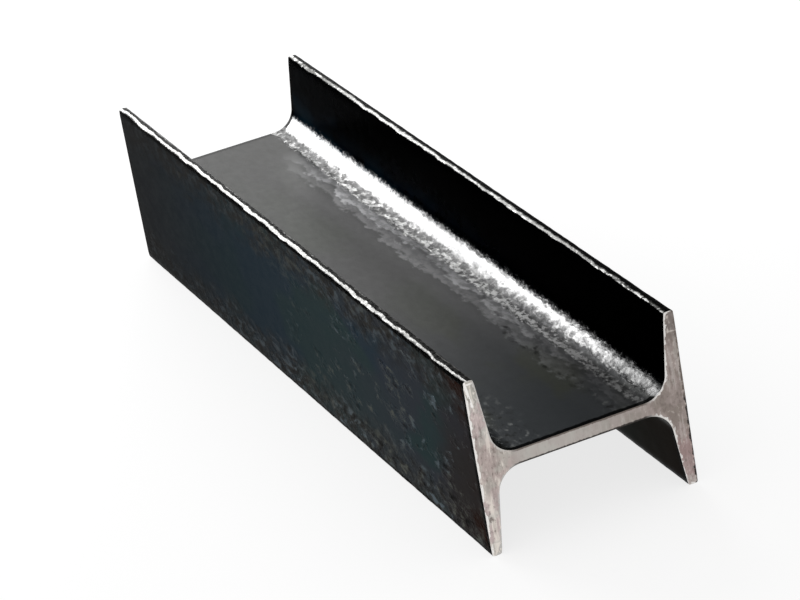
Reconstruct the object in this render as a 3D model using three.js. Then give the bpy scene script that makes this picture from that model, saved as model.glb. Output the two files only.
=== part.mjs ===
// A short length of hot-rolled steel beam with tapered flanges, standing on its flange tips.
//
// Millimetres, +Z up. The beam runs along X, its depth lies along Y and its two flanges stand
// upright, so the web is a level plate half-way up. The origin is on the floor, under the middle.
//
// The section is the one that the rolls leave: each flange is thin at its tips and thickens
// towards the web, and a large root radius runs into the web. The tips are almost square, with
// only a slight toe radius inside and heel radius outside.

import * as THREE from 'three';

// Driving dimensions
const beamLength = 635;
const sectionDepth = 152.4;       // over the outer faces of the two flanges
const flangeWidth = 127;          // from tip to tip of one flange
const webThickness = 10.8;
const flangeTipThickness = 7.4;   // at the tip, measured to the sharp corner before it is rounded
const flangeTaper = 0.12;         // growth in thickness for each millimetre from the tip inwards
const rootRadius = 17.5;
const toeRadius = 1.2;
const heelRadius = 1.2;

// Facets in each quarter of the section
const rootFacets = 12;
const toeFacets = 4;
const heelFacets = 4;

const quarterTurn = Math.PI / 2;

// A path divides an arc into twice as many facets as it is asked for.
const arcPoints = (path, facets) => path.getPoints(facets / 2);

// One quarter of the section, from the web's top face round to the flange's outer face, with the
// section's centre at (0, 0), the depth along x and the flange's width along y. The inner face of
// the flange slants by the taper, and the root and toe arcs are tangent to it.
function quarterOutline() {
  const tipHeight = flangeWidth / 2;
  const outerFace = sectionDepth / 2;
  const webFace = webThickness / 2;
  const innerFaceAtTip = outerFace - flangeTipThickness;
  const innerFaceAt = (height) => innerFaceAtTip - flangeTaper * (tipHeight - height);
  const slant = Math.hypot(1, flangeTaper);
  const taperAngle = Math.atan(flangeTaper);

  const rootCentreHeight = webFace + rootRadius;
  const rootCentre = innerFaceAt(rootCentreHeight) - rootRadius * slant;
  const toeCentreHeight = tipHeight - toeRadius;
  const toeCentre = innerFaceAt(toeCentreHeight) + toeRadius * slant;

  const root = new THREE.Path();
  root.absarc(rootCentre, rootCentreHeight, rootRadius, -quarterTurn, -taperAngle, false);
  const toe = new THREE.Path();
  toe.absarc(toeCentre, toeCentreHeight, toeRadius, Math.PI - taperAngle, quarterTurn, true);
  const heel = new THREE.Path();
  heel.absarc(outerFace - heelRadius, tipHeight - heelRadius, heelRadius, quarterTurn, 0, true);

  return [
    ...arcPoints(root, rootFacets),
    ...arcPoints(toe, toeFacets),
    ...arcPoints(heel, heelFacets),
  ];
}

// The whole section: the quarter and its three mirror images, in order round the outline. Every
// second image is run backwards, so that the outline goes one way.
function beamSection() {
  const quarter = quarterOutline();
  const mirrored = (x, y) => quarter.map((point) => new THREE.Vector2(x * point.x, y * point.y));
  return new THREE.Shape([
    ...mirrored(1, 1),
    ...mirrored(1, -1).reverse(),
    ...mirrored(-1, -1),
    ...mirrored(-1, 1).reverse(),
  ]);
}

// The beam itself: the section, extruded along X, centred on its length and raised to the floor.
function beam() {
  const geometry = new THREE.ExtrudeGeometry(beamSection(), {
    depth: beamLength,
    bevelEnabled: false,
  });
  geometry.translate(0, 0, -beamLength / 2);
  // The extrusion runs along +Z with the depth along +X: turn it to run along X, depth along Y.
  geometry.applyMatrix4(new THREE.Matrix4().set(
    0, 0, 1, 0,
    1, 0, 0, 0,
    0, 1, 0, 0,
    0, 0, 0, 1,
  ));
  const millScale = new THREE.MeshStandardMaterial({
    color: 0x34383c,
    roughness: 0.45,
    metalness: 0.9,
  });
  const mesh = new THREE.Mesh(geometry, millScale);
  mesh.name = 'steel_h_beam';
  mesh.position.z = flangeWidth / 2;
  return mesh;
}

const group = new THREE.Group();
group.add(beam());

export default group;
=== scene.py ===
"""A short length of hot-rolled H beam on a plain pale floor: its looks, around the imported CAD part."""

import math

import bpy
from mathutils import Matrix, Vector, noise
from mathutils.geometry import delaunay_2d_cdt


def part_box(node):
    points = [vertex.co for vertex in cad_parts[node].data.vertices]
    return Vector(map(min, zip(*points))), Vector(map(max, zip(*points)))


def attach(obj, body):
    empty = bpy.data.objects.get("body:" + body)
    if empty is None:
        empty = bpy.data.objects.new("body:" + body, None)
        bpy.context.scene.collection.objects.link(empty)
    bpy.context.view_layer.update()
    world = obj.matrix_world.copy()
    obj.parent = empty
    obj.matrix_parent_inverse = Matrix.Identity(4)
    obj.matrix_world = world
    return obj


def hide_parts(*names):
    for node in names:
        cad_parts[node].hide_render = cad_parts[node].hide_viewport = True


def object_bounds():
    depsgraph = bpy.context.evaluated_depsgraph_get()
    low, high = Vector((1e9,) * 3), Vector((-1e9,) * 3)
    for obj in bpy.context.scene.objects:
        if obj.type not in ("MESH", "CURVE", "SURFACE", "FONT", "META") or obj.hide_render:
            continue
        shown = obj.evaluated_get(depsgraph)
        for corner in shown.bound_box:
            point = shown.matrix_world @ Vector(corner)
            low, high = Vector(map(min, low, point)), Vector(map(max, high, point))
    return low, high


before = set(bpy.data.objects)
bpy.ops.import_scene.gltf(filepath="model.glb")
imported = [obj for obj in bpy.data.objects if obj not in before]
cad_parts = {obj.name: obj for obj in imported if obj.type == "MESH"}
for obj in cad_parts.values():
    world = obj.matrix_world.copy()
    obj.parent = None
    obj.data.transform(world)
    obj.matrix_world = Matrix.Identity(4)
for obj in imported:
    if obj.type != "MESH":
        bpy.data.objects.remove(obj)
cad_low, cad_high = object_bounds()

# ---------------------------------------------------------------------------------------------
# Sizes, in metres
# ---------------------------------------------------------------------------------------------

MM = 0.001
HALF_TURN = math.pi
QUARTER_TURN = math.pi / 2

# x runs along the beam from the far end to the near one, which the camera sees. y runs across its
# depth from the left flange to the right one, and z goes up.
BEAM = "steel_h_beam"
box_low, box_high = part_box(BEAM)
LENGTH = box_high.x - box_low.x
HALF_DEPTH = (box_high.y - box_low.y) / 2
HALF_WIDTH = (box_high.z - box_low.z) / 2
MIDDLE_HEIGHT = (box_low.z + box_high.z) / 2

# The rest of the rolled section, as in the part's own source
HALF_WEB = 5.4 * MM
TIP_THICKNESS = 7.4 * MM
TAPER = 0.12
ROOT_RADIUS = 17.5 * MM
TOE_RADIUS = 1.2 * MM
HEEL_RADIUS = 1.2 * MM

SLANT = math.hypot(1, TAPER)
TAPER_ANGLE = math.atan(TAPER)


def inner_face(height):
    """Where the inner face of the right flange is at a height above the web's middle."""
    return HALF_DEPTH - TIP_THICKNESS - TAPER * (HALF_WIDTH - height)


# The centres of the arcs in the upper right quarter
ROOT_HEIGHT = HALF_WEB + ROOT_RADIUS
ROOT_Y = inner_face(ROOT_HEIGHT) - ROOT_RADIUS * SLANT
TOE_HEIGHT = HALF_WIDTH - TOE_RADIUS
TOE_Y = inner_face(TOE_HEIGHT) + TOE_RADIUS * SLANT
HEEL_HEIGHT = HALF_WIDTH - HEEL_RADIUS
HEEL_Y = HALF_DEPTH - HEEL_RADIUS

# ---------------------------------------------------------------------------------------------
# The rolled section as a ring of points
# ---------------------------------------------------------------------------------------------

# Steps along each stretch of a quarter of the section
WEB_STEPS = 12
ROOT_STEPS = 18
INNER_STEPS = 12
TOE_STEPS = 4
LAND_STEPS = 8
HEEL_STEPS = 4
OUTER_STEPS = 16


def arc(centre, radius, start, end, steps, side):
    """Points and outward normals on an arc. side is -1 where the steel lies outside the arc."""
    points = []
    for i in range(steps + 1):
        angle = start + (end - start) * i / steps
        y, z = math.cos(angle), math.sin(angle)
        points.append((centre[0] + radius * y, centre[1] + radius * z, side * y, side * z))
    return points


def line(start, end, normal, steps):
    """Points between two ends, without the ends themselves, which belong to the arcs."""
    points = []
    for i in range(1, steps):
        t = i / steps
        y = start[0] + (end[0] - start[0]) * t
        z = start[1] + (end[1] - start[1]) * t
        points.append((y, z, *normal))
    return points


def quarter_ring():
    """From the middle of the web's upper face to the middle of the right flange's outer face."""
    root = arc((ROOT_Y, ROOT_HEIGHT), ROOT_RADIUS, -QUARTER_TURN, -TAPER_ANGLE, ROOT_STEPS, -1)
    toe = arc((TOE_Y, TOE_HEIGHT), TOE_RADIUS, HALF_TURN - TAPER_ANGLE, QUARTER_TURN, TOE_STEPS, 1)
    heel = arc((HEEL_Y, HEEL_HEIGHT), HEEL_RADIUS, QUARTER_TURN, 0, HEEL_STEPS, 1)
    web_middle = (0, HALF_WEB, 0, 1)
    outer_middle = (HALF_DEPTH, 0, 1, 0)
    return (
        [web_middle]
        + line(web_middle, root[0], (0, 1), WEB_STEPS)
        + root
        + line(root[-1], toe[0], (-1 / SLANT, TAPER / SLANT), INNER_STEPS)
        + toe
        + line(toe[-1], heel[0], (0, 1), LAND_STEPS)
        + heel
        + line(heel[-1], outer_middle, (1, 0), OUTER_STEPS)
        + [outer_middle]
    )


def with_distance(points):
    """The same points, each with its distance along the section from the first."""
    measured, along = [], 0.0
    for i, point in enumerate(points):
        if i:
            along += math.dist(point[:2], points[i - 1][:2])
        measured.append((*point, along))
    return measured


def whole_ring():
    """The quarter and its mirror images, once round the section."""
    quarter = with_distance(quarter_ring())

    def mirrored(sy, sz):
        return [(sy * y, sz * z, sy * ny, sz * nz, along) for y, z, ny, nz, along in quarter]

    return (
        mirrored(1, 1)[:-1]
        + mirrored(1, -1)[::-1][:-1]
        + mirrored(-1, -1)[:-1]
        + mirrored(-1, 1)[::-1][:-1]
    )


# Distances along the quarter, from the middle of the web's face to the end of each stretch
SLANT_TURN = QUARTER_TURN - TAPER_ANGLE
WEB_END = ROOT_Y
ROOT_END = WEB_END + ROOT_RADIUS * SLANT_TURN
INNER_END = ROOT_END + (TOE_HEIGHT - ROOT_HEIGHT + TAPER * (TOE_Y - ROOT_Y)) / SLANT
TOE_END = INNER_END + TOE_RADIUS * SLANT_TURN
LAND_END = TOE_END + HEEL_Y - TOE_Y
HEEL_END = LAND_END + HEEL_RADIUS * QUARTER_TURN
TOE_MIDDLE = (INNER_END + TOE_END) / 2
HEEL_MIDDLE = (LAND_END + HEEL_END) / 2

# ---------------------------------------------------------------------------------------------
# The rolled skin
# ---------------------------------------------------------------------------------------------

SKIN_STEPS = 300           # rings along the beam
SKIN_DEPTH = 0.12 * MM     # how far the skin lies under the nominal section, so relief stays inside
WAVE_SHARE = 0.55          # how much of that depth the slow waves add or take away
SCALE_SHARE = 0.35         # the same for the scale's small unevenness
PIT_LIMIT = 0.32           # the noise above which scabs have left a pit
PIT_SHARE = 0.9            # how much deeper a pit is
CORNER_WEAR = 0.3 * MM     # how far the tips' corners are rolled down
CORNER_REACH = 3.0 * MM    # how far from a corner that wear reaches
SHARP_ANGLE = math.radians(32)    # edges that turn by more than this aren't smoothed


def smooth(t):
    """A smooth step from 0 to 1."""
    t = min(1.0, max(0.0, t))
    return t * t * (3 - 2 * t)


def field(x, y, z, along, across, shift=(0, 0, 0)):
    """Noise from -1 to 1, with a number of features per metre along the beam and across it."""
    place = (x * along + shift[0], y * across + shift[1], z * across + shift[2])
    return noise.noise(Vector(place))


def skin_relief(x, y, z, along):
    """How far the skin lies under the nominal section at a point, in metres."""
    wave = field(x, y, z, 14, 30, (0, 0, 7))
    scale = field(x, y, z, 90, 120)
    scab = field(x, y, z, 55, 95, (31, 0, 0))
    pit = max(0.0, scab - PIT_LIMIT) * PIT_SHARE
    relief = SKIN_DEPTH * (1 + WAVE_SHARE * wave + SCALE_SHARE * scale + pit)
    corner = min(abs(along - TOE_MIDDLE), abs(along - HEEL_MIDDLE))
    if corner < CORNER_REACH:
        ragged = field(x, y, z, 150, 40, (0, 0, 3))
        slow = field(x, y, z, 40, 40, (0, 11, 0))
        relief += CORNER_WEAR * smooth(1 - corner / CORNER_REACH) * (1 + 0.5 * ragged + 0.3 * slow)
    return relief


def skin_vertices(ring):
    """Rings of vertices along the beam, and the distance along the section of each."""
    vertices, along_section = [], []
    for i in range(SKIN_STEPS + 1):
        x = -LENGTH / 2 + LENGTH * i / SKIN_STEPS
        for y, z, ny, nz, along in ring:
            d = skin_relief(x, y, z, along)
            vertices.append((x, y - ny * d, MIDDLE_HEIGHT + z - nz * d))
            along_section.append(along)
    return vertices, along_section


def skin_faces(count):
    """Quads between each ring of count vertices and the next."""
    faces = []
    for i in range(SKIN_STEPS):
        a, b = i * count, (i + 1) * count
        for j in range(count):
            k = (j + 1) % count
            faces.append((a + j, a + k, b + k, b + j))
    return faces


def beam_mesh():
    """The rolled skin, closed by the two sawn ends. Material 0 is the skin and 1 the ends."""
    ring = whole_ring()
    vertices, along_section = skin_vertices(ring)
    faces = skin_faces(len(ring))
    on_skin = len(faces)
    in_from_rim = [0.0] * len(vertices)
    sawn_end(vertices, faces, in_from_rim, ring, 0, -1)
    sawn_end(vertices, faces, in_from_rim, ring, SKIN_STEPS * len(ring), 1)
    along_section += [0.0] * (len(vertices) - len(along_section))

    mesh = bpy.data.meshes.new("beam")
    mesh.from_pydata(vertices, [], faces)
    mesh.polygons.foreach_set("material_index", [int(i >= on_skin) for i in range(len(faces))])
    add_values(mesh, "along_section", along_section)
    add_values(mesh, "in_from_rim", in_from_rim)
    mesh.validate()
    mesh.update()
    mesh.shade_smooth()
    mesh.set_sharp_from_angle(angle=SHARP_ANGLE)
    return mesh


def add_values(mesh, name, values):
    """Keep a number for each vertex, for the materials to read."""
    mesh.attributes.new(name, "FLOAT", "POINT").data.foreach_set("value", values)


# ---------------------------------------------------------------------------------------------
# The sawn ends
# ---------------------------------------------------------------------------------------------

RIM_WIDTH = 0.5 * MM       # the burr round each sawn end
RIM_RAGGED = 0.7           # how much of that width the burr gains or loses
RIM_SINK = 0.12 * MM       # how far the burr's edge lies under the nominal end, on average
CUT_DEPTH = 0.2 * MM       # how far the sawn face lies under its burr
CUT_SLOPE = 1.0 * MM       # how wide the slope down from the burr is
CUT_GRID = 2.0 * MM        # spacing of the points inside each sawn end
CUT_CLEAR = 1.3 * MM       # how far those points stay from the outline
SAW_LEFT = 0.9             # how far to the left the middle of the saw's round marks is
SAW_RISE = 0.4             # how high it is at the near end, and how far down at the far one
SAW_STEP = 2.2 * MM        # distance for each radian of the marks' sine wave
SAW_MARK = 0.02 * MM       # half the height of the saw marks
SAW_ROUGH = 0.03 * MM      # half the height of the roughness between them
INSIDE_ONLY = 1            # delaunay_2d_cdt's way to keep only triangles inside the outline
MERGE_DISTANCE = 1e-7      # points closer than this become one


def distance_inside(y, z):
    """How far a point of the section is from the nominal outline; below zero outside the steel."""
    y, z = abs(y), abs(z)
    if y <= ROOT_Y:
        return HALF_WEB - z
    edge = min(HALF_DEPTH - y, HALF_WIDTH - z)
    if z >= ROOT_HEIGHT:
        return min(edge, (y - inner_face(z)) / SLANT)
    return min(edge, math.hypot(y - ROOT_Y, z - ROOT_HEIGHT) - ROOT_RADIUS)


def sawn_end(vertices, faces, in_from_rim, ring, first, side):
    """One sawn end: a thin ragged burr along the outline, and the sawn face a little behind it.

    first is the end ring's first vertex, and side is -1 at the far end and 1 at the near one.
    """
    count = len(ring)
    rim = sunk_rim(vertices, ring, first, side)
    edges = [(j, (j + 1) % count) for j in range(count)]
    filled = delaunay_2d_cdt(rim + inner_points(), edges, [], INSIDE_ONLY, MERGE_DISTANCE)
    points, _, triangles, sources, _, _ = filled
    start = len(vertices)
    for y, z in points:
        inside = distance_inside(y, z - MIDDLE_HEIGHT)
        vertices.append((side * (LENGTH / 2 - sawn_relief(y, z, inside, side)), y, z))
        in_from_rim.append(inside)
    new_index = {s: start + k for k, group in enumerate(sources) for s in group}
    for j, k in edges:
        quad = (first + j, first + k, new_index[k], new_index[j])
        faces.append(quad if side > 0 else quad[::-1])
    for triangle in triangles:
        corners = tuple(start + k for k in triangle)
        faces.append(corners if side > 0 else corners[::-1])


def sunk_rim(vertices, ring, first, side):
    """Move the end ring's vertices to the burr's ragged edge, and return the burr's inner edge."""
    rim = []
    for j, (_, _, ny, nz, _) in enumerate(ring):
        _, y, z = vertices[first + j]
        ragged = noise.noise(Vector((y * 260, z * 260, 5 * side)))
        vertices[first + j] = (side * (LENGTH / 2 - RIM_SINK * (1 + ragged)), y, z)
        width = RIM_WIDTH * (1 + RIM_RAGGED * ragged)
        rim.append(Vector((y - ny * width, z - nz * width)))
    return rim


def inner_points():
    """A triangular grid over the section, clear of the burr, in the scene's y and z."""
    points = []
    rows = int(2 * HALF_WIDTH / CUT_GRID)
    columns = int(2 * HALF_DEPTH / CUT_GRID)
    for row in range(1, rows):
        for column in range(1, columns):
            y = -HALF_DEPTH + (column + 0.5 * (row % 2)) * CUT_GRID
            z = -HALF_WIDTH + row * CUT_GRID
            if distance_inside(y, z) > CUT_CLEAR:
                points.append(Vector((y, z + MIDDLE_HEIGHT)))
    return points


def sawn_relief(y, z, inside, side):
    """How far a point of a sawn end lies under the end's plane, in metres."""
    saw = math.sin(math.hypot(y + SAW_LEFT, z - SAW_RISE * side) / SAW_STEP)
    rough = noise.noise(Vector((y * 90, z * 90, side)))
    recess = CUT_DEPTH * smooth((inside - RIM_WIDTH) / CUT_SLOPE)
    return recess + SAW_MARK * (1 + saw) + SAW_ROUGH * (1 + rough)


# ---------------------------------------------------------------------------------------------
# Node trees
# ---------------------------------------------------------------------------------------------

MIX_FACTOR, MIX_A, MIX_B, MIX_RESULT = 0, 6, 7, 2     # the Mix node's sockets for colours
NOISE_SPREAD = 0.25        # how far a noise field mostly keeps from its middle, 0.5


class Nodes:
    """Short calls for building a node tree. A value is a number or another node's socket."""

    def __init__(self, tree):
        self.tree = tree
        tree.nodes.clear()

    def put(self, socket, value):
        """Set a socket to a number, or link another node's socket to it."""
        if isinstance(value, bpy.types.NodeSocket):
            self.tree.links.new(value, socket)
        else:
            socket.default_value = value

    def add(self, kind, inputs, **settings):
        """A new node with some of its inputs and settings."""
        node = self.tree.nodes.new(kind)
        for key, value in settings.items():
            setattr(node, key, value)
        for key, value in inputs.items():
            self.put(node.inputs[key], value)
        return node

    def axes(self):
        """Object coordinates one by one, in metres, with the height taken from the web's middle."""
        here = self.add("ShaderNodeTexCoord", {}).outputs["Object"]
        parts = self.add("ShaderNodeSeparateXYZ", {"Vector": here}).outputs
        return parts["X"], parts["Y"], self.plus(parts["Z"], -MIDDLE_HEIGHT)

    def place(self, x=1, y=1, z=1):
        """Object coordinates in metres. A scale below 1 draws a pattern out along that axis."""
        here = self.add("ShaderNodeTexCoord", {}).outputs["Object"]
        inputs = {"Vector": here, "Scale": (x, y, z)}
        return self.add("ShaderNodeMapping", inputs).outputs["Vector"]

    def attribute(self, name):
        """One of the numbers that the mesh keeps for each vertex."""
        return self.add("ShaderNodeAttribute", {}, attribute_name=name).outputs["Fac"]

    def noise(self, place, per_metre, detail, roughness=0.55):
        """Noise from 0 to 1, with a number of features per metre."""
        inputs = {"Vector": place, "Scale": per_metre, "Detail": detail, "Roughness": roughness}
        return self.add("ShaderNodeTexNoise", inputs).outputs["Fac"]

    def cells(self, place, per_metre):
        """A random value from 0 to 1 for each small irregular cell."""
        cell = self.add("ShaderNodeTexVoronoi", {"Vector": place, "Scale": per_metre})
        return self.add("ShaderNodeSeparateColor", {"Color": cell.outputs["Color"]}).outputs["Red"]

    def warped(self, place, per_metre, reach):
        """A place pushed about by noise, by about reach metres each way."""
        inputs = {"Vector": place, "Scale": per_metre, "Detail": 3.0}
        push = self.add("ShaderNodeTexNoise", inputs).outputs["Color"]
        inputs = {0: push, 1: (0.5, 0.5, 0.5)}
        push = self.add("ShaderNodeVectorMath", inputs, operation="SUBTRACT").outputs[0]
        inputs = {0: push, "Scale": reach / NOISE_SPREAD}
        push = self.add("ShaderNodeVectorMath", inputs, operation="SCALE").outputs[0]
        return self.add("ShaderNodeVectorMath", {0: place, 1: push}).outputs[0]

    def wander(self, value, field, span):
        """A value moved up and down over a span by a noise field, to make its limits ragged."""
        return self.plus(value, self.times(self.plus(field, -0.5), span))

    def ramp(self, value, low, high, start=0.0, end=1.0):
        """A smooth step from start at low to end at high."""
        inputs = {"Value": value, "From Min": low, "From Max": high, "To Min": start, "To Max": end}
        node = self.add("ShaderNodeMapRange", inputs, interpolation_type="SMOOTHSTEP")
        return node.outputs["Result"]

    def choose(self, mask, off, on):
        """One value where a mask is 0 and another where it is 1."""
        return self.ramp(mask, 0, 1, off, on)

    def band(self, value, low, high, soft):
        """1 between low and high, falling to 0 over soft at each side."""
        rise = self.ramp(value, low - soft, low + soft)
        return self.times(rise, self.ramp(value, high - soft, high + soft, 1.0, 0.0))

    def math(self, operation, a, b=0.0):
        """The result of a Math node."""
        return self.add("ShaderNodeMath", {0: a, 1: b}, operation=operation).outputs[0]

    def times(self, product, *factors):
        for factor in factors:
            product = self.math("MULTIPLY", product, factor)
        return product

    def plus(self, total, *terms):
        for term in terms:
            total = self.math("ADD", total, term)
        return total

    def minus(self, a, b):
        return self.math("SUBTRACT", a, b)

    def rest(self, share):
        """What a share leaves of 1."""
        return self.minus(1.0, share)

    def larger(self, a, b):
        return self.math("MAXIMUM", a, b)

    def absolute(self, value):
        return self.math("ABSOLUTE", value)

    def blend(self, share, a, b):
        """Two numbers mixed, with a share of the second."""
        return self.plus(self.times(a, self.rest(share)), self.times(b, share))

    def mix(self, share, a, b):
        """Two colours mixed, with a share of the second."""
        node = self.add("ShaderNodeMix", {}, data_type="RGBA")
        self.put(node.inputs[MIX_FACTOR], share)
        self.put(node.inputs[MIX_A], a)
        self.put(node.inputs[MIX_B], b)
        return node.outputs[MIX_RESULT]

    def bump(self, height, distance):
        """distance is what a height of 1 stands for, in metres."""
        inputs = {"Height": height, "Distance": distance, "Strength": 1.0}
        return self.add("ShaderNodeBump", inputs).outputs["Normal"]

    def finish(self, kind, shader):
        """Send a shader to an output node of a kind."""
        output = self.add(kind, {})
        self.tree.links.new(shader.outputs[0], output.inputs["Surface"])


def new_material(name, kind=Nodes):
    """A new material, and its node tree in short calls of a kind."""
    material = bpy.data.materials.new(name)
    material.use_nodes = True
    return material, kind(material.node_tree)


def rgb(r, g, b):
    """A linear colour."""
    return (r, g, b, 1.0)


def grey(value):
    return rgb(value, value, value)


# ---------------------------------------------------------------------------------------------
# Mill scale, on the rolled skin
#
# n is the material's node tree. Limits on n.x are in metres from the beam's middle: the far end is
# at -0.3175 and the near one at 0.3175. Limits on n.along are distances along the section, such as
# WEB_END. Limits on a noise field say how much of the surface is meant: its values keep mostly
# between 0.3 and 0.7. A name that ends in BUMP says how high the bump is where its field is 1.
# ---------------------------------------------------------------------------------------------


class Skin(Nodes):
    """Node tree of the rolled skin, with the fields that its zones share."""

    def __init__(self, tree):
        super().__init__(tree)
        self.x, self.y, self.height = self.axes()
        self.along = self.attribute("along_section")
        self.left = self.ramp(self.y, -MM, MM, 1.0, 0.0)
        self.upper = self.ramp(self.height, -MM, MM)
        self.upper_right = self.times(self.ramp(self.y, -MM, MM), self.upper)
        rolled = self.place(x=0.55)
        self.hue = self.noise(self.place(x=0.5), 13, detail=2)
        self.slow = self.noise(self.place(x=0.5), 18, detail=3)
        self.patches = self.noise(rolled, 70, detail=4, roughness=0.6)
        self.scabs = self.noise(self.place(x=0.65), 105, detail=3, roughness=0.6)
        self.flecks = self.noise(rolled, 190, detail=4, roughness=0.6)
        self.chunks = self.noise(self.place(x=0.65), 205, detail=2, roughness=0.5)
        self.lumps = self.noise(rolled, 210, detail=1, roughness=0.4)
        self.grain = self.noise(self.place(x=0.7), 430, detail=3, roughness=0.6)
        self.dust = self.noise(self.place(), 1300, detail=3, roughness=0.6)
        self.chips = self.cells(self.warped(rolled, 400, 1.2 * MM), 420)

    def stretch(self, start, stop, far=0.0, near=0.0):
        """A factor of 1 along the middle of the beam.

        It rises from far between the two x of start, and falls to near between the two of stop.
        """
        return self.times(self.ramp(self.x, *start, far, 1.0), self.ramp(self.x, *stop, 1.0, near))


GREY_WEB = grey(0.0500)
OLIVE_WEB = rgb(0.0486, 0.0498, 0.0477)
PALE_WEB = rgb(0.0500, 0.0500, 0.0495)
# Darker web colours for the near end, as painted shade
SHADED_BLUE_WEB = rgb(0.0272, 0.0292, 0.0308)
SHADED_MOSS_WEB = rgb(0.0290, 0.0308, 0.0262)
WEB_FLECK = rgb(0.100, 0.104, 0.102)
WEB_PIT = rgb(0.012, 0.012, 0.011)
# Light grey of the scuffs, and of painted light towards the roots
SCUFF_AND_PAINTED_LIGHT = rgb(0.52, 0.52, 0.53)
# Pale flakes, partly painted glints of chips catching the lamp
PALE_FLAKE_AND_GLINT = rgb(0.95, 0.95, 0.94)
FLAKE_PIT = grey(0.03)

# Flakes between the light ones and the pits: sunk and raised, in the middle and by each end, where they
# are painted darker as shade
FLAKE_DARK, FLAKE_MID = grey(0.17), grey(0.29)
NEAR_SHADED_DARK, NEAR_SHADED_MID = grey(0.03), grey(0.11)
FAR_SHADED_DARK, FAR_SHADED_MID = grey(0.08), grey(0.15)

FLAKE_BUMP = 0.8 * MM
SCUFF_BUMP = 0.08 * MM


def web_look(n):
    """Smooth grey scale on the web, breaking into bright flakes towards the roots."""
    right = n.ramp(n.y, -20 * MM, 20 * MM, 0.05, 1.0)
    scuffed = web_scuffs_and_root_light(n)
    colour = n.mix(n.times(scuffed, right), web_scale(n), SCUFF_AND_PAINTED_LIGHT)
    colour = web_flecks(n, colour)
    flaked = flake_zone(n, right)
    light, dark = flake_pattern(n)
    near, far = n.ramp(n.x, -0.03, 0.19), n.ramp(n.x, -0.30, -0.16, 1.0, 0.0)
    colour = n.mix(flaked, colour, flake_colour(n, light, dark, near, far))
    height = n.plus(n.times(flaked, n.lumps, FLAKE_BUMP), n.times(scuffed, SCUFF_BUMP))
    glint = n.ramp(n.absolute(n.plus(n.x, 0.09)), 0.08, 0.16, 0.75, 0.0)
    bare = n.times(flaked, n.choose(n.larger(near, far), 1.0, light))
    metallic = n.plus(n.ramp(bare, 0, 0.5, 1.0, 0.0), n.times(light, flaked, glint))
    return colour, height, metallic


def web_scale(n):
    """Smooth grey, greener in places, and darker towards the near end, which is painted shade."""
    colour = n.mix(n.ramp(n.slow, 0.4, 0.6), GREY_WEB, OLIVE_WEB)
    colour = n.mix(n.ramp(n.x, -0.33, -0.1, 1.0, 0.0), colour, PALE_WEB)
    # Painted shade: the web is darker by the near end, where the lamp's reflection fades.
    shaded_near_web = n.mix(n.ramp(n.slow, 0.44, 0.56), SHADED_BLUE_WEB, SHADED_MOSS_WEB)
    return n.mix(n.ramp(n.x, 0.0, 0.3), colour, shaded_near_web)


def web_scuffs_and_root_light(n):
    """How far the web is scuffed light, in two ragged steps, and lightened a little more towards the
    roots as painted light.
    """
    limit = n.wander(n.wander(n.along, n.patches, 24 * MM), n.flecks, 10 * MM)
    outer_step = n.ramp(limit, 24.5 * MM, 27.5 * MM, 0.0, 0.14)
    inner_step = n.ramp(limit, 33 * MM, 36 * MM, 0.0, n.ramp(n.x, -0.18, 0.0, 0.36, 0.26))
    steps = n.times(n.plus(outer_step, inner_step), n.ramp(n.flecks, 0.4, 0.6, 0.7, 1.3))
    steps = n.times(steps, n.stretch((-0.28, -0.15), (0.08, 0.28), near=0.2))
    # Painted light: a little lighter towards the roots, where the right flange darkens the web's
    # reflection.
    rise = n.ramp(n.along, 4 * MM, 26 * MM, 0.0, 0.045)
    return n.plus(steps, n.times(rise, n.stretch((-0.28, -0.16), (0.08, 0.25), near=0.3)))


def web_flecks(n, colour):
    """Small light flecks and dark pits, in the corner by the near end and in a chain along the web."""
    place = n.wander(n.y, n.patches, 32 * MM)
    corner = n.times(n.ramp(place, -38 * MM, -20 * MM, 1.0, 0.0), n.ramp(n.x, 0.19, 0.27))
    chain = n.times(n.band(place, 22 * MM, 29 * MM, 2 * MM), n.ramp(n.x, 0.08, 0.16))
    zone = n.larger(corner, chain)
    pits = n.ramp(n.chunks, 0.34, 0.44, 0.6, 0.0)
    light = n.ramp(n.chunks, 0.55, 0.68, 0.0, 0.6)
    colour = n.mix(n.times(zone, pits), colour, WEB_PIT)
    return n.mix(n.times(zone, light), colour, WEB_FLECK)


def flake_zone(n, right):
    """How far the scale has flaked off the web: in a ragged strip along the right root."""
    edge = n.plus(n.along, n.ramp(n.x, -0.28, -0.05, -4.3 * MM, -2.2 * MM))
    edge = n.wander(n.wander(edge, n.flecks, 12 * MM), n.grain, 6 * MM)
    strip = n.times(n.ramp(edge, WEB_END - 8 * MM, WEB_END - 5 * MM), right)
    return n.times(strip, n.stretch((-0.32, -0.18), (0.0, 0.3), far=0.6, near=0.3))


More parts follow.
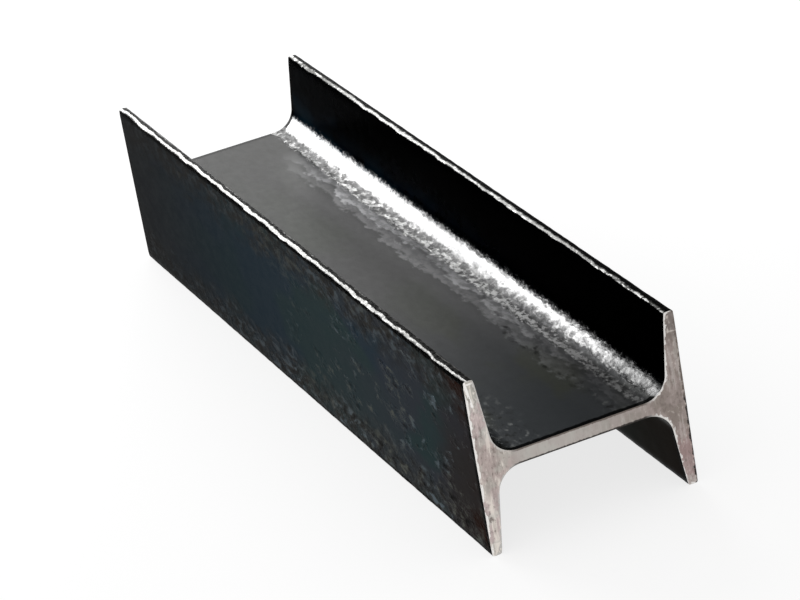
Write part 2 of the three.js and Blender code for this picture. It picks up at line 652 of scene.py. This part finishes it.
def flake_pattern(n):
    """Where the flakes are light, mostly in a row along the root, and where they are dark. The light
    ones fade towards both ends as painted shade.
    """
    fine = n.plus(n.ramp(n.x, -0.05, 0.15, 0.3, 0.6), n.ramp(n.x, -0.28, -0.16, 0.3, 0.0))
    pattern = n.blend(fine, n.chunks, n.grain)
    row = n.band(n.along, WEB_END - 5.5 * MM, WEB_END + 1.5 * MM, 2.5 * MM)
    apart = n.plus(n.ramp(n.x, -0.30, -0.16, 0.06, 0.0), n.ramp(n.x, 0.0, 0.20, 0.0, 0.06))
    in_row = n.plus(apart, n.ramp(n.x, -0.28, -0.18, 0.015, 0.055))
    lifted = n.minus(n.plus(pattern, n.times(row, in_row)), apart)
    none = n.ramp(n.x, -0.05, 0.15, 0.485, 0.47)
    full = n.ramp(n.x, -0.05, 0.15, 0.63, 0.61)
    by_root = n.ramp(n.along, WEB_END + 2.5 * MM, WEB_END + 5.5 * MM, 1.0, 0.4)
    light = n.times(n.ramp(lifted, none, full), by_root)
    # Painted shade: the light flakes fade towards both ends.
    light = n.times(light, n.stretch((-0.30, -0.18), (0.0, 0.25), far=0.45, near=0.6))
    dark = n.ramp(pattern, 0.36, 0.47, n.ramp(n.x, -0.1, 0.2, 0.25, 0.7), 0.0)
    return light, dark


def flake_colour(n, light, dark, near, far):
    """Light flakes, partly painted glints, dark pits and greys between, dimmer towards both ends of the
    beam as painted shade.
    """
    sunk = n.mix(far, n.mix(near, FLAKE_DARK, NEAR_SHADED_DARK), FAR_SHADED_DARK)
    raised = n.mix(far, n.mix(near, FLAKE_MID, NEAR_SHADED_MID), FAR_SHADED_MID)
    mottle = n.plus(n.times(n.grain, 0.5), n.times(n.lumps, 0.5))
    between = n.mix(n.ramp(mottle, 0.41, 0.59), sunk, raised)
    trough = n.band(n.along, WEB_END + 2.5 * MM, WEB_END + 4.5 * MM, 1.5 * MM)
    between = n.mix(n.times(trough, n.ramp(n.x, 0.0, 0.2), 0.5), between, FLAKE_PIT)
    return n.mix(light, n.mix(dark, between, FLAKE_PIT), PALE_FLAKE_AND_GLINT)


ROOT_DARK = grey(0.11)
ROOT_LIGHT = grey(0.42)
# The brightest painted highlight of the root
ROOT_HIGHLIGHT = grey(0.75)
ROOT_SCALE = rgb(0.016, 0.0165, 0.0160)


def root_look(n):
    """Scale bright in the upper right root, partly worn bare and partly a painted highlight, and black
    in the others.
    """
    scale = n.mix(n.ramp(n.chips, 0.6, 0.9, 0.0, 0.4), ROOT_SCALE, WEB_FLECK)
    colour = n.mix(n.upper_right, scale, root_wear_and_highlight(n))
    fine = n.times(n.ramp(n.grain, 0.3, 0.7), n.ramp(n.x, -0.2, 0.25, 0.08 * MM, 0.18 * MM))
    coarse = n.times(n.lumps, n.ramp(n.x, -0.2, 0.2, 0.1 * MM, 0.8 * MM))
    return colour, n.plus(fine, coarse)


def root_wear_and_highlight(n):
    """Bright steel, partly worn bare and partly a painted highlight, smooth at the far end, chipped and
    pitted towards the near one, and darker by the near end as painted shade.
    """
    worn = n.ramp(n.x, -0.2, 0.3)
    limit = n.wander(n.along, n.flecks, 6 * MM)
    low = n.ramp(limit, WEB_END + 5 * MM, WEB_END + 13 * MM, 1.0, 0.35)
    chipped = n.ramp(n.plus(n.times(n.chips, 0.6), n.times(n.grain, 0.8)), 0.45, 0.95)
    colour = n.mix(n.times(worn, low, chipped), ROOT_LIGHT, ROOT_DARK)
    # Painted shade: darker by the near end, where the highlight fades.
    colour = n.mix(n.ramp(n.x, 0.20, 0.31, 0.0, 0.68), colour, ROOT_DARK)
    mottle = n.plus(n.times(n.chunks, 0.6), n.times(n.grain, 0.4))
    pitted = n.times(n.ramp(mottle, 0.42, 0.52, 1.0, 0.0), n.ramp(n.x, -0.1, 0.15, 0.0, 0.55))
    colour = n.mix(pitted, colour, FLAKE_PIT)
    # Painted highlight: a brighter band in the middle of the root.
    bright = n.ramp(n.along, WEB_END + 10 * MM, WEB_END + 14 * MM)
    bright = n.times(bright, n.ramp(n.x, -0.05, 0.12), n.ramp(n.x, 0.15, 0.26, 0.5, 0.0))
    return n.mix(bright, colour, ROOT_HIGHLIGHT)


EDGE_BLACK = grey(0.002)
# Scale painted near-black as shade
SHADED_BLACK_SCALE = rgb(0.003, 0.003, 0.0032)
TEAL_SCALE = rgb(0.0075, 0.012, 0.016)
LOWER_OLIVE = rgb(0.0040, 0.0060, 0.0040)
LOWER_BROWN = rgb(0.0070, 0.0040, 0.0015)
INNER_BUMP = 0.1 * MM


def inner_look(n):
    """Near-black scale on the inner faces of the flanges, painted darker than the outer faces as shade.
    """
    teal = n.ramp(n.along, ROOT_END - 4 * MM, ROOT_END + 26 * MM, 1.0, 0.15)
    teal = n.times(teal, n.ramp(n.x, -0.3, 0.25, 1.0, 0.2), n.ramp(n.patches, 0.35, 0.65, 0.3, 1.0))
    upper = n.mix(teal, SHADED_BLACK_SCALE, TEAL_SCALE)
    brown = n.ramp(n.wander(n.x, n.slow, 100 * MM), 0.22, 0.30)
    lower = n.mix(brown, LOWER_OLIVE, LOWER_BROWN)
    lower = n.mix(n.ramp(n.along, INNER_END - 5 * MM, INNER_END - MM), lower, EDGE_BLACK)
    return n.mix(n.upper, lower, upper), n.times(n.patches, INNER_BUMP)


# Painted highlight on the tips, bright and dull
TIP_HIGHLIGHT = rgb(0.50, 0.50, 0.49)
TIP_HIGHLIGHT_DULL = rgb(0.065, 0.065, 0.062)
TIP_BLACK = grey(0.003)
TIP_DARK = grey(0.007)
TIP_GREY = rgb(0.024, 0.024, 0.0235)
TIP_MIDDLE = HALF_DEPTH - TIP_THICKNESS / 2
TIP_BUMP = 0.25 * MM


def tip_look(n):
    """Flange tips: a painted highlight along one edge of the upper ones, dark elsewhere."""
    speckle = n.ramp(n.grain, 0.4, 0.6)
    right_tip = n.mix(n.times(speckle, 0.3), TIP_BLACK, TIP_DARK)
    colour = n.mix(n.left, right_tip, n.mix(speckle, TIP_DARK, TIP_GREY))
    on_top = n.ramp(n.height, 0, MM)
    across = tip_across(n)
    # The line along one edge and the lip are painted highlights of the tips' rounded edges.
    dull = n.times(highlight_dimming(n), n.ramp(n.chips, 0.1, 0.5))
    rubbed = n.times(on_top, tip_highlight_line(n, across))
    colour = n.mix(rubbed, colour, n.mix(dull, TIP_HIGHLIGHT, TIP_HIGHLIGHT_DULL))
    lip = n.times(on_top, n.left, n.band(across, 2.6 * MM, 3.4 * MM, 0.3 * MM))
    colour = n.mix(n.times(lip, n.ramp(n.chips, 0.2, 0.8, 0.1, 0.3)), colour, TIP_HIGHLIGHT)
    return colour, n.times(n.grain, TIP_BUMP)


def tip_across(n):
    """How far to the right of its tip's middle a point is, made ragged."""
    across = n.times(n.math("SIGN", n.y), n.plus(n.absolute(n.y), -TIP_MIDDLE))
    ragged = n.wander(n.wander(across, n.grain, 2.4 * MM), n.patches, 6.0 * MM)
    return n.plus(ragged, n.ramp(n.x, -0.05, 0.10, 0.0, n.choose(n.left, 0.45 * MM, 0.0)))


def tip_highlight_line(n, across):
    """How far a tip carries its painted highlight: from its left edge to a limit that wanders along the
    beam.
    """
    wide_left = n.ramp(n.x, 0.12, 0.30, 0.75 * MM, 0.0)
    wide_right = n.plus(
        n.ramp(n.x, -0.28, -0.02, 0.9 * MM, 0.3 * MM),
        n.ramp(n.x, 0.0, 0.08, 0.0, 0.3 * MM),
        n.ramp(n.x, 0.2, 0.28, 0.0, -0.65 * MM),
    )
    limit = n.minus(across, n.choose(n.left, wide_right, wide_left))
    right_fade = n.ramp(limit, -2.1 * MM, 0.1 * MM, 1.0, 0.0)
    left_fade = n.ramp(limit, -1.3 * MM, -0.8 * MM, 1.0, 0.0)
    fade = n.choose(n.left, n.times(right_fade, right_fade), left_fade)
    inward = n.ramp(n.x, -0.20, -0.10, -0.5 * MM, n.ramp(n.x, 0.0, 0.1, 0.0, -0.25 * MM))
    edge = n.plus(across, n.times(n.left, inward))
    outside = n.choose(n.left, 0.1, n.ramp(n.x, -0.20, -0.10, 0.1, 0.2))
    return n.times(n.ramp(edge, -3.1 * MM, -2.5 * MM, outside, 1.0), fade)


def highlight_dimming(n):
    """How dull the painted highlight line is, along the beam."""
    right = n.plus(
        n.ramp(n.x, -0.05, 0.08, 0.3, 0.5),
        n.ramp(n.x, 0.16, 0.29, 0.0, 0.5),
        n.ramp(n.x, -0.28, -0.14, 0.6, 0.0),
    )
    return n.choose(n.left, right, n.ramp(n.x, 0.0, 0.3, 0.3, 0.5))


BLUE_SCALE = rgb(0.020, 0.034, 0.047)
GREEN_SCALE = rgb(0.022, 0.040, 0.042)
VIOLET_SCALE = rgb(0.032, 0.036, 0.046)
DEEP_BLUE = rgb(0.003, 0.030, 0.052)
FAR_BLACK = rgb(0.0002, 0.0016, 0.0026)
BROWN_SCALE = rgb(0.031, 0.0295, 0.0265)
DUN_SCALE = rgb(0.0255, 0.0215, 0.0200)
RED_SCALE = rgb(0.0200, 0.0085, 0.0055)
PIT_BLACK = grey(0.006)
FLAKE_BLUE = rgb(0.115, 0.145, 0.165)
FLAKE_OLIVE = rgb(0.112, 0.118, 0.100)
SCAB_BUMP = 0.9 * MM


def outer_look(n):
    """Bluish scale on the flanges' outer faces, flaking along the edges and towards the near end, with a
    thin line of painted shade along each heel.
    """
    inward = n.plus(n.along, -HEEL_END)
    strip = n.ramp(n.wander(inward, n.patches, 48 * MM), 10 * MM, 34 * MM, 1.0, 0.0)
    colour = outer_scale(n, strip)
    flaked = flaking(n, strip)
    colour = scabs(n, colour, flaked)
    colour = n.mix(rust(n, inward), colour, RED_SCALE)
    # Painted shade: a thin black line along each heel.
    edge = n.ramp(n.wander(inward, n.grain, 2.0 * MM), 1.8 * MM, 2.8 * MM, 1.0, 0.0)
    return n.mix(edge, colour, EDGE_BLACK), n.times(flaked, n.scabs, SCAB_BUMP)


def outer_scale(n, strip):
    """Blue and green, brown along the edges, darker to the far end and dun to the near one."""
    near = n.ramp(n.x, 0.0, 0.30)
    colour = n.mix(n.ramp(n.hue, 0.44, 0.54), BLUE_SCALE, GREEN_SCALE)
    colour = n.mix(n.times(near, n.ramp(n.slow, 0.42, 0.56)), colour, VIOLET_SCALE)
    colour = n.mix(n.ramp(n.x, -0.2, 0.1, 0.5, 0.0), colour, DEEP_BLUE)
    colour = n.mix(n.times(strip, n.ramp(n.flecks, 0.38, 0.62, 0.4, 0.95)), colour, BROWN_SCALE)
    darkest = n.mix(strip, FAR_BLACK, EDGE_BLACK)
    colour = n.mix(n.ramp(n.x, -0.40, 0.15, 1.0, 0.0), colour, darkest)
    limit = n.wander(n.wander(n.x, n.patches, 60 * MM), n.slow, 60 * MM)
    dun = n.ramp(limit, 0.235, 0.29, 0.0, 0.9)
    dun = n.times(dun, n.ramp(n.height, -5 * MM, 30 * MM, 1.0, 0.5))
    return n.mix(dun, colour, DUN_SCALE)


def flaking(n, strip):
    """How far the scale has come off: most in the lower strip and near the end the camera sees."""
    lower = n.ramp(n.height, -10 * MM, 10 * MM, 1.0, 0.55)
    in_strip = n.times(strip, lower, n.ramp(n.x, -0.28, 0.2, 0.18, 1.0))
    cluster = n.times(n.ramp(n.patches, 0.52, 0.60), n.ramp(n.x, -0.1, 0.2), 0.8)
    return n.times(n.larger(in_strip, cluster), n.ramp(n.flecks, 0.34, 0.58))


def scabs(n, colour, amount):
    """Dark pits and light lifted flakes."""
    pattern = n.plus(n.times(n.scabs, 0.6), n.times(n.lumps, 0.4))
    pits = n.times(amount, n.ramp(pattern, 0.42, 0.48, 1.0, 0.0))
    lifted = n.times(amount, n.ramp(pattern, 0.50, 0.59))
    colour = n.mix(n.times(pits, 0.9), colour, PIT_BLACK)
    light = n.mix(n.ramp(n.slow, 0.50, 0.60), FLAKE_BLUE, FLAKE_OLIVE)
    return n.mix(n.times(lifted, 0.9), colour, light)


def rust(n, inward):
    """Red-brown stain by the near end, mostly in the corners."""
    limit = n.wander(n.x, n.patches, 80 * MM)
    by_end = n.ramp(limit, LENGTH / 2 - 26 * MM, LENGTH / 2 - 6 * MM)
    by_corner = n.ramp(n.wander(inward, n.flecks, 20 * MM), 20 * MM, 34 * MM, 1.0, 0.25)
    return n.times(by_end, by_corner)


def in_root_mask(n):
    """0 on the web and 1 past its limit with the root, which is ragged with big chips."""
    edge = n.wander(n.along, n.grain, 5.6 * MM)
    edge = n.wander(edge, n.chunks, n.ramp(n.x, -0.3, -0.15, 5 * MM, 9 * MM))
    far_shift = n.ramp(n.x, -0.3, -0.18, -1.4 * MM, 0.0)
    near_shift = n.ramp(n.x, 0.0, 0.25, 0.0, -0.7 * MM)
    edge = n.plus(edge, far_shift, near_shift)
    return n.ramp(edge, WEB_END + 4.6 * MM, WEB_END + 8.0 * MM)


def on_inner_mask(n):
    """0 before the inner face and 1 past its limit with the root, ragged like a rubbed edge."""
    edge = n.plus(n.along, n.ramp(n.x, -0.1, 0.3, 0.5 * MM, 1.6 * MM))
    edge = n.wander(n.wander(edge, n.grain, 10 * MM), n.flecks, 8 * MM)
    return n.ramp(edge, ROOT_END - 10.2 * MM, ROOT_END - 3.4 * MM)


def dark_by_cuts(n, in_root, on_inner, on_tip, on_outer):
    """How dark the skin is close by the saw cuts, except on the bright upper right root, the tips and
    the upper web by the far end.
    """
    before_cut = n.plus(n.absolute(n.x), -LENGTH / 2)
    darkened = n.ramp(n.wander(before_cut, n.grain, 3.0 * MM), -5.0 * MM, -4.0 * MM, 0.0, 0.95)
    root = n.times(n.minus(in_root, on_inner), n.upper_right, n.ramp(n.x, -0.1, 0.1), 0.8)
    far_web = n.times(n.choose(in_root, 0.65, 0.0), n.ramp(n.x, -MM, MM, 1.0, 0.0), n.upper)
    spared = n.larger(n.larger(root, n.minus(on_tip, on_outer)), far_web)
    return n.times(darkened, n.rest(spared))


DUST_BUMP = 0.005 * MM


def mill_scale():
    """Black oxide from the rolls: each stretch of the section has its own look."""
    material, n = new_material("mill_scale", Skin)
    in_root = in_root_mask(n)
    on_inner = on_inner_mask(n)
    tip_limit, outer_limit = INNER_END + 0.5 * MM, LAND_END + 0.4 * MM
    on_tip = n.ramp(n.wander(n.along, n.patches, 6 * MM), tip_limit, tip_limit + 0.6 * MM)
    on_outer = n.ramp(n.wander(n.along, n.patches, -6 * MM), outer_limit, outer_limit + 0.6 * MM)

    colour, height, metallic = web_look(n)
    layers = (
        (in_root, root_look),
        (on_inner, inner_look),
        (on_tip, tip_look),
        (on_outer, outer_look),
    )
    for mask, look in layers:
        next_colour, next_height = look(n)
        colour = n.mix(mask, colour, next_colour)
        height = n.blend(mask, height, next_height)
        metallic = n.larger(metallic, mask)
    colour = n.mix(dark_by_cuts(n, in_root, on_inner, on_tip, on_outer), colour, PIT_BLACK)
    height = n.plus(height, n.times(n.dust, DUST_BUMP))
    glossy = n.choose(n.minus(on_inner, on_tip), 1.0, 0.55)
    inputs = {
        "Base Color": colour,
        "Metallic": metallic,
        "Roughness": n.times(n.ramp(n.flecks, 0.3, 0.7, 0.36, 0.40), glossy),
        "Specular Tint": grey(0.45),
        "Normal": n.bump(height, 1.0),
    }
    n.finish("ShaderNodeOutputMaterial", n.add("ShaderNodeBsdfPrincipled", inputs))
    return material


# ---------------------------------------------------------------------------------------------
# Sawn steel, on the two ends
# ---------------------------------------------------------------------------------------------

SAWN_GREY = rgb(0.54, 0.520, 0.485)
SAWN_PINK = rgb(0.56, 0.470, 0.458)
SAWN_TAN = rgb(0.42, 0.360, 0.320)
SAWN_OLIVE = rgb(0.43, 0.42, 0.375)
SAWN_CREAM = rgb(0.86, 0.80, 0.73)
SAWN_TAUPE = rgb(0.270, 0.230, 0.205)
SAWN_ROSE = rgb(0.340, 0.248, 0.238)
SAWN_DULL = rgb(0.200, 0.178, 0.170)
SAWN_SHADE = rgb(0.20, 0.165, 0.15)
# Painted highlight of the burr, and painted shade along the rim
BURR_HIGHLIGHT = rgb(0.95, 0.93, 0.90)
RIM_SHADE = rgb(0.15, 0.125, 0.110)
RIM_DEEP_SHADE = rgb(0.02, 0.018, 0.017)
SAWN_BUMP = 0.08 * MM


class Sawn(Nodes):
    """Node tree of the sawn ends, with the fields that their parts share."""

    def __init__(self, tree):
        super().__init__(tree)
        _, self.y, self.z = self.axes()
        self.out, self.up = self.absolute(self.y), self.absolute(self.z)
        self.left = self.ramp(self.y, -MM, MM, 1.0, 0.0)
        self.upper = self.ramp(self.z, -MM, MM)
        self.blotch = self.noise(self.place(), 95, detail=4, roughness=0.6)
        self.speck = self.noise(self.place(z=0.6), 420, detail=3, roughness=0.65)
        self.streak = self.noise(self.place(z=0.13), 330, detail=3)
        self.fine = self.noise(self.place(z=0.12), 900, detail=3)
        self.on_flange = self.ramp(self.out, 44 * MM, 58 * MM)
        self.less_on_web = self.plus(0.25, self.times(self.on_flange, 0.75))
        lower_start = self.choose(self.left, 56.5 * MM, 54.0 * MM)
        tip_start = self.ramp(self.z, -MM, MM, lower_start, 48.5 * MM)
        self.past_start = self.minus(self.wander(self.up, self.blotch, 8 * MM), tip_start)
        self.at_tip = self.ramp(self.past_start, -0.5 * MM, 0.5 * MM)


def sawn_left(n):
    """The left flange and most of the web: pale grey steel stained pink, with cream streaks."""
    pink = n.times(n.ramp(n.blotch, 0.40, 0.56), n.less_on_web, n.choose(n.at_tip, 1.0, 0.15))
    colour = n.mix(pink, SAWN_GREY, SAWN_PINK)
    colour = n.mix(n.times(n.at_tip, n.upper, 0.8), colour, SAWN_OLIVE)
    by_root = n.times(n.ramp(n.up, 12 * MM, 26 * MM, 1.0, 0.0), n.on_flange, 0.45)
    colour = n.mix(by_root, colour, SAWN_TAN)
    streaks = n.times(n.on_flange, n.ramp(n.streak, 0.54, 0.66, 0.0, 0.6))
    colour = n.mix(streaks, colour, SAWN_CREAM)
    spots = n.times(n.plus(0.35, n.times(n.at_tip, 0.4)), n.ramp(n.speck, 0.55, 0.66), n.on_flange)
    colour = n.mix(spots, colour, SAWN_CREAM)
    colour = n.mix(cream_bar(n), colour, SAWN_CREAM)
    stained = n.times(n.band(n.z, -44 * MM, -32 * MM, 4 * MM), n.ramp(n.speck, 0.36, 0.48, 0.7, 0.0))
    colour = n.mix(n.times(stained, n.on_flange), colour, SAWN_SHADE)
    # Painted highlight of the upper burr.
    colour = n.mix(n.times(upper_burr_highlight(n), n.on_flange), colour, BURR_HIGHLIGHT)
    low_tip = n.times(n.at_tip, n.ramp(n.z, -MM, MM, 0.5, 0.0))
    return n.mix(low_tip, colour, SAWN_CREAM)


def cream_bar(n):
    """An upright streak by the back of the left flange, in its lower half."""
    bar = n.band(n.wander(n.y, n.speck, 6 * MM), -72.5 * MM, -69.0 * MM, MM)
    lower = n.ramp(n.z, -24 * MM, -14 * MM, 0.75, 0.0)
    return n.times(bar, lower, n.ramp(n.blotch, 0.38, 0.5, 0.4, 1.0))


def upper_burr_highlight(n):
    """Burr at the left flange's upper tip, painted bright as a highlight: a slanting nick at its back
    and a line on top.
    """
    below_top = n.minus(HALF_WIDTH, n.z)
    slant = n.minus(n.plus(n.y, HALF_DEPTH), n.times(below_top, 0.15))
    slant = n.wander(slant, n.speck, 3 * MM)
    nick = n.times(n.band(slant, 0.4 * MM, 1.8 * MM, 0.4 * MM), n.ramp(n.z, 43 * MM, 45 * MM))
    top = n.band(n.wander(n.z, n.speck, 2 * MM), 60.2 * MM, 61.6 * MM, 0.4 * MM)
    return n.larger(nick, n.times(top, 0.8))


def sawn_right(n):
    """The right flange: browner, rosy towards its lower tip and dull at its upper one."""
    colour = n.mix(n.ramp(n.z, -34 * MM, -18 * MM, 1.0, 0.0), SAWN_TAUPE, SAWN_ROSE)
    colour = n.mix(n.ramp(n.streak, 0.52, 0.62, 0.0, 0.4), colour, SAWN_GREY)
    colour = n.mix(n.ramp(n.blotch, 0.42, 0.58, 0.0, 0.35), colour, SAWN_PINK)
    colour = n.mix(n.ramp(n.speck, 0.58, 0.68, 0.0, 0.3), colour, SAWN_CREAM)
    upper_tip = n.times(n.at_tip, n.upper, 0.75)
    colour = n.mix(upper_tip, colour, SAWN_DULL)
    inward = n.ramp(n.y, 71.5 * MM, 73.5 * MM, 1.0, 0.1)
    specks = n.times(upper_tip, inward, n.ramp(n.speck, 0.46, 0.62))
    colour = n.mix(specks, colour, SAWN_CREAM)
    colour = n.mix(n.ramp(n.z, 26 * MM, 50 * MM, 0.0, 0.3), colour, SAWN_SHADE)
    below_line = n.times(n.band(n.past_start, -4.5 * MM, -MM, 0.8 * MM), n.upper, 0.45)
    colour = n.mix(below_line, colour, SAWN_SHADE)
    low_tip = n.times(n.at_tip, n.ramp(n.z, -MM, MM, 0.6, 0.0), n.ramp(n.speck, 0.4, 0.6, 0.4, 1.0))
    return n.mix(low_tip, colour, SAWN_GREY)


def sawn_rim(n, colour):
    """The burr: painted bright as a highlight and ragged round the flanges, painted dark as shade along
    the web and the right flange's back.
    """
    outer = n.ramp(n.out, HALF_DEPTH - 2.4 * MM, HALF_DEPTH - 1.6 * MM)
    left_outer = n.times(n.left, outer)
    inner = n.times(n.rest(outer), n.on_flange)
    # Painted highlight where the burr is bright, painted shade where it is dark, blacker on the lower
    # half.
    bright = n.plus(left_outer, n.times(inner, n.choose(n.left, 0.85, 0.55)))
    dark = n.mix(n.upper, RIM_DEEP_SHADE, RIM_SHADE)
    span = n.choose(n.on_flange, 1.5 * MM, 7.0 * MM)
    ragged = n.wander(n.attribute("in_from_rim"), n.speck, span)
    ragged = n.wander(ragged, n.blotch, n.times(left_outer, 9 * MM))
    by_root = n.times(n.ramp(n.up, 26 * MM, 40 * MM, 0.5 * MM, 0.0), n.choose(n.left, 1.0, 0.0))
    wide = n.plus(
        n.choose(n.on_flange, 1.25 * MM, 0.9 * MM),
        n.times(left_outer, 0.35 * MM),
        n.times(by_root, n.on_flange),
    )
    rim = n.ramp(n.minus(ragged, wide), -0.3 * MM, 0.3 * MM, 0.9, 0.0)
    return n.mix(rim, colour, n.mix(bright, dark, BURR_HIGHLIGHT))


def sawn_steel():
    """Bare steel of a sawn end, with saw marks and a burr."""
    material, n = new_material("sawn_steel", Sawn)
    colour = n.mix(n.ramp(n.y, -30 * MM, 72 * MM), sawn_left(n), sawn_right(n))
    colour = n.mix(n.choose(n.on_flange, 0.14, 0.0), colour, SAWN_SHADE)
    tip_line = n.band(n.past_start, -0.6 * MM, 0.0, 0.35 * MM)
    tip_line = n.times(tip_line, n.upper, n.ramp(n.speck, 0.4, 0.6, 0.1, 0.5))
    colour = n.mix(tip_line, colour, SAWN_CREAM)
    dark = n.plus(n.ramp(n.speck, 0.35, 0.46, 0.5, 0.0), n.ramp(n.streak, 0.38, 0.50, 0.25, 0.0))
    colour = n.mix(n.times(dark, n.less_on_web), colour, SAWN_SHADE)
    height = n.plus(n.times(n.fine, 0.5), n.times(n.speck, 0.5))
    inputs = {
        "Base Color": sawn_rim(n, colour),
        "Metallic": 1.0,
        "Roughness": n.ramp(n.blotch, 0.3, 0.7, 0.42, 0.55),
        "Normal": n.bump(height, SAWN_BUMP),
    }
    n.finish("ShaderNodeOutputMaterial", n.add("ShaderNodeBsdfPrincipled", inputs))
    return material


def make_beam():
    """The beam, as one piece that stands for the CAD part."""
    beam = bpy.data.objects.new("beam", beam_mesh())
    bpy.context.scene.collection.objects.link(beam)
    beam.data.materials.append(mill_scale())
    beam.data.materials.append(sawn_steel())
    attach(beam, "root")
    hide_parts(BEAM)


# ---------------------------------------------------------------------------------------------
# Floor, light and camera
# ---------------------------------------------------------------------------------------------

FLOOR_SIZE = 40.0
FLOOR_WHITE = 0.78         # what the camera and reflections see of the floor besides its lit colour
FLOOR_COLOUR = grey(0.3)
WORLD_LIGHT = 0.55         # the world's light on diffuse surfaces; it looks white, which is 1


def sees_background(n):
    """1 for rays from the camera and for reflected and refracted ones, else 0."""
    path = n.add("ShaderNodeLightPath", {}).outputs
    seen = n.larger(path["Is Camera Ray"], path["Is Glossy Ray"])
    return n.larger(seen, path["Is Transmission Ray"])


def floor_material():
    """A plain diffuse floor that also glows for the camera and in reflections."""
    material, n = new_material("floor")
    lit = n.add("ShaderNodeBsdfDiffuse", {"Color": FLOOR_COLOUR}).outputs[0]
    strength = n.times(sees_background(n), FLOOR_WHITE)
    glow = n.add("ShaderNodeEmission", {"Strength": strength}).outputs[0]
    n.finish("ShaderNodeOutputMaterial", n.add("ShaderNodeAddShader", {0: lit, 1: glow}))
    return material


def make_floor():
    """A square floor that the beam stands on."""
    half = FLOOR_SIZE / 2
    corners = [(-half, -half), (half, -half), (half, half), (-half, half)]
    mesh = bpy.data.meshes.new("floor")
    mesh.from_pydata([(x, y, cad_low.z) for x, y in corners], [], [(0, 1, 2, 3)])
    mesh.materials.append(floor_material())
    floor = bpy.data.objects.new("floor", mesh)
    bpy.context.scene.collection.objects.link(floor)


def make_world():
    """White all round, dimmer on diffuse surfaces than it looks."""
    world = bpy.data.worlds.new("world")
    bpy.context.scene.world = world
    world.use_nodes = True
    n = Nodes(world.node_tree)
    inputs = {"Color": rgb(1, 1, 1), "Strength": n.choose(sees_background(n), WORLD_LIGHT, 1.0)}
    n.finish("ShaderNodeOutputWorld", n.add("ShaderNodeBackground", inputs))


LAMP_PLACE = Vector((-1.9, -0.24, 0.675))
LAMP_AIM = Vector((0, -0.24, 0.675))
LAMP_WIDTH = 2.12
LAMP_HEIGHT = 1.05
LAMP_RADIANCE = 6.0


def make_lamp():
    """One soft lamp past the far end, which the upper faces reflect towards the camera."""
    data = bpy.data.lights.new("back_softbox", "AREA")
    data.shape = "RECTANGLE"
    data.size, data.size_y = LAMP_WIDTH, LAMP_HEIGHT
    data.energy = LAMP_RADIANCE * math.pi * LAMP_WIDTH * LAMP_HEIGHT
    lamp = bpy.data.objects.new("back_softbox", data)
    bpy.context.scene.collection.objects.link(lamp)
    lamp.visible_camera = False
    turn = (LAMP_AIM - LAMP_PLACE).to_track_quat("-Z", "Y")
    lamp.matrix_world = Matrix.Translation(LAMP_PLACE) @ turn.to_matrix().to_4x4()


CAMERA_AZIMUTH = 69.83     # degrees
CAMERA_ELEVATION = 24.085
CAMERA_ROLL = -10.19
CAMERA_DISTANCE = 2.697
CAMERA_LENS = 168.8        # millimetres, as is the sensor's width
CAMERA_SENSOR = 36
CAMERA_CLIP_END = 100
AIM_RIGHT = 0.01115        # where the camera's axis passes the beam's middle
AIM_UP = -0.01408


def make_camera():
    """A camera that matches the photo as closely as one without shift can."""
    azimuth = math.radians(CAMERA_AZIMUTH)
    elevation = math.radians(CAMERA_ELEVATION)
    roll = math.radians(CAMERA_ROLL)
    level_back = Vector((math.sin(azimuth), -math.cos(azimuth), 0))
    back = level_back * math.cos(elevation) + Vector((0, 0, math.sin(elevation)))
    level = Vector((math.cos(azimuth), math.sin(azimuth), 0))
    above = back.cross(level)
    right = level * math.cos(roll) + above * math.sin(roll)
    up = above * math.cos(roll) - level * math.sin(roll)
    place = (cad_low + cad_high) / 2 + right * AIM_RIGHT + up * AIM_UP + back * CAMERA_DISTANCE
    data = bpy.data.cameras.new("camera")
    data.lens = CAMERA_LENS
    data.sensor_width = CAMERA_SENSOR
    data.clip_end = CAMERA_CLIP_END
    camera = bpy.data.objects.new("camera", data)
    bpy.context.scene.collection.objects.link(camera)
    camera.matrix_world = Matrix.Translation(place) @ Matrix((right, up, back)).transposed().to_4x4()
    bpy.context.scene.camera = camera


make_beam()
make_floor()
make_world()
make_lamp()
make_camera()
bpy.context.scene.view_settings.view_transform = "Standard"
